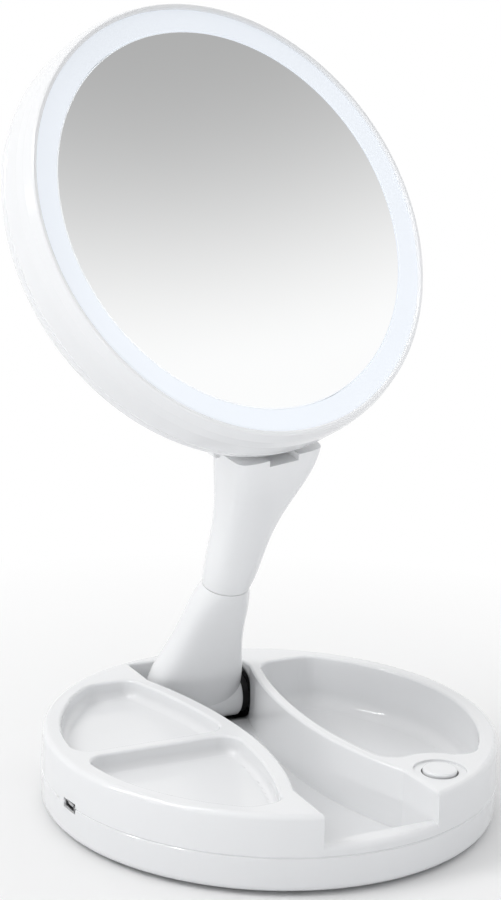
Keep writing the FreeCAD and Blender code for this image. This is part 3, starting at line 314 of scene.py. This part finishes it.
# Every node that isn't named here is white.
wearers = {
    "shell": ("base_top_shell",),
    "head": ("front_bezel", "back_shell"),
    "inner": ("charge_light", "mirror_plate"),
    "rubber": ("base_foot_ring",),
    "acetal": ("swivel_ring",),
    "dark": ("push_switch", "switch_plunger", "arm_hinge_block_right", "arm_hinge_block_left",
             "arm_hinge_washers"),
    "board": ("control_board", "switch_board", "lamp_board"),
    "lamp": ("lamps",),
    "cell": ("battery_cells",),
    "steel": ("base_screws", "charging_socket", "arm_hinge_pin", "swivel_spindle", "tilt_pin",
              "bracket_screws"),
    "spring": ("battery_contacts", "battery_springs"),
    "mirror": ("mirror_glass",),
    "magnifier": ("magnifying_glass",),
    "light": ("light_diffuser",),
}
finish = {name: look for look, names in wearers.items() for name in names}
for name, item in nodes.items():
    item.data.materials.clear()
    item.data.materials.append(looks[finish.get(name, "white")])


# Stage: a pale floor that fades to white away from the object

FLOOR_SIZE = 30.0
FLOOR_BOUNCE = (0.75, 0.755, 0.765)
FLOOR_PALE = (0.86, 0.86, 0.86)
FADE_START = 0.12
FADE_END = 0.32

bpy.ops.mesh.primitive_plane_add(size=FLOOR_SIZE, location=(0, 0, 0))
floor = bpy.context.object
floor.name = "floor"
n = Surface("floor_white")
away = n.ramp(n.vector("LENGTH", n.place()), FADE_START, FADE_END)
seen = n.math("MAXIMUM", *n.sights())
n.set(n.shader, Base_Color=n.tint(seen, FLOOR_BOUNCE, FLOOR_PALE), Roughness=0.6,
      Specular_IOR_Level=0.1)
white = n.add("Emission")
n.set(white, Strength=1.0)
mixed = n.choose(n.math("MULTIPLY", away, seen), n.shader.outputs["BSDF"],
                 white.outputs["Emission"])
n.set(n.tree.nodes["Material Output"], Surface=mixed)
floor.data.materials.append(n.material)


# Surroundings. A soft grey panel hangs where the mirror looks, given by its direction and by the
# cosines of its edge and of its middle. The studio is brightest toward its upper back.

PANEL_WAY = (0.6113, -0.1986, 0.7660)
PANEL_EDGE = 0.945
PANEL_HEART = 0.9863
PANEL_GREY = 0.44
SHEEN_STRENGTH = 0.99
STUDIO_WAY = (-0.10, 0.40, 0.91)
STUDIO_SPAN = 0.75
STUDIO_DIM = (0.56, 0.575, 0.60)
STUDIO_BRIGHT = (1.0, 1.0, 1.0)
STUDIO_STRENGTH = 0.86

world = bpy.data.worlds.new("studio")
scene.world = world
world.use_nodes = True
n = Nodes(world.node_tree)
n.tree.nodes.clear()
way = n.place("Generated")
panel = n.ramp(n.vector("DOT_PRODUCT", way, PANEL_WAY), PANEL_EDGE, PANEL_HEART, 1.0, PANEL_GREY,
               "SMOOTHSTEP")
toward = n.ramp(n.vector("DOT_PRODUCT", way, STUDIO_WAY), -STUDIO_SPAN, STUDIO_SPAN)
studio = n.background(n.tint(toward, STUDIO_DIM, STUDIO_BRIGHT), STUDIO_STRENGTH)
sheen = n.background(panel, SHEEN_STRENGTH)
plain = n.background((1, 1, 1, 1), 1.0)
direct, mirrored = n.sights()
n.set(n.add("OutputWorld"), Surface=n.choose(direct, n.choose(mirrored, studio, sheen), plain))


# Lamps

def lamp_at(name, data, place, aim):
    """A lamp turned to a point."""
    lamp = bpy.data.objects.new(name, data)
    scene.collection.objects.link(lamp)
    lamp.location = place
    lamp.rotation_mode = "QUATERNION"
    lamp.rotation_quaternion = (Vector(aim) - Vector(place)).to_track_quat("-Z", "Y")
    return lamp


def softbox(name, place, aim, width, height, watts):
    """A large soft lamp turned to a point."""
    data = bpy.data.lights.new(name, "AREA")
    data.shape = "RECTANGLE"
    data.size = width
    data.size_y = height
    data.energy = watts
    return lamp_at(name, data, place, aim)


BOX_AIM = (0, 0, 0.1)
BOX_SIDE = 0.7
KEY_WATTS = 8.0
RIM_WATTS = 2.5
key = softbox("key", (-1.1, 0.22, 1.15), BOX_AIM, BOX_SIDE, BOX_SIDE, KEY_WATTS)
key.visible_glossy = False
rim = softbox("rim", (1.3, 0.35, 0.5), BOX_AIM, BOX_SIDE, BOX_SIDE, RIM_WATTS)
rim.visible_glossy = False

# Two narrow strips that show only as highlights
STRIP_AIM = (0.05, 0.03, 0.03)
STRIP_LENGTH = 0.9
STRIP_WATTS = 5.0
for name, place, width in (
    ("strip_long", (-0.75, -0.05, 1.2), 0.07),
    ("strip_side", (-0.95, 0.35, 0.9), 0.05),
):
    strip = softbox(name, place, STRIP_AIM, width, STRIP_LENGTH, STRIP_WATTS)
    strip.visible_diffuse = False

# A narrow lamp beside the camera for the arm and the trays behind it
ACCENT_WATTS = 50.0
ACCENT_CONE = math.radians(11.5)
ACCENT_SOFT = 0.15
accent_data = bpy.data.lights.new("accent", "SPOT")
accent_data.energy = ACCENT_WATTS
accent_data.spot_size = ACCENT_CONE
accent_data.spot_blend = 1.0
accent_data.shadow_soft_size = ACCENT_SOFT
accent = lamp_at("accent", accent_data, (-0.62, -1.1, 0.10), (0.01, 0.03, 0.135))
accent.visible_glossy = False

scene.view_settings.view_transform = "Standard"
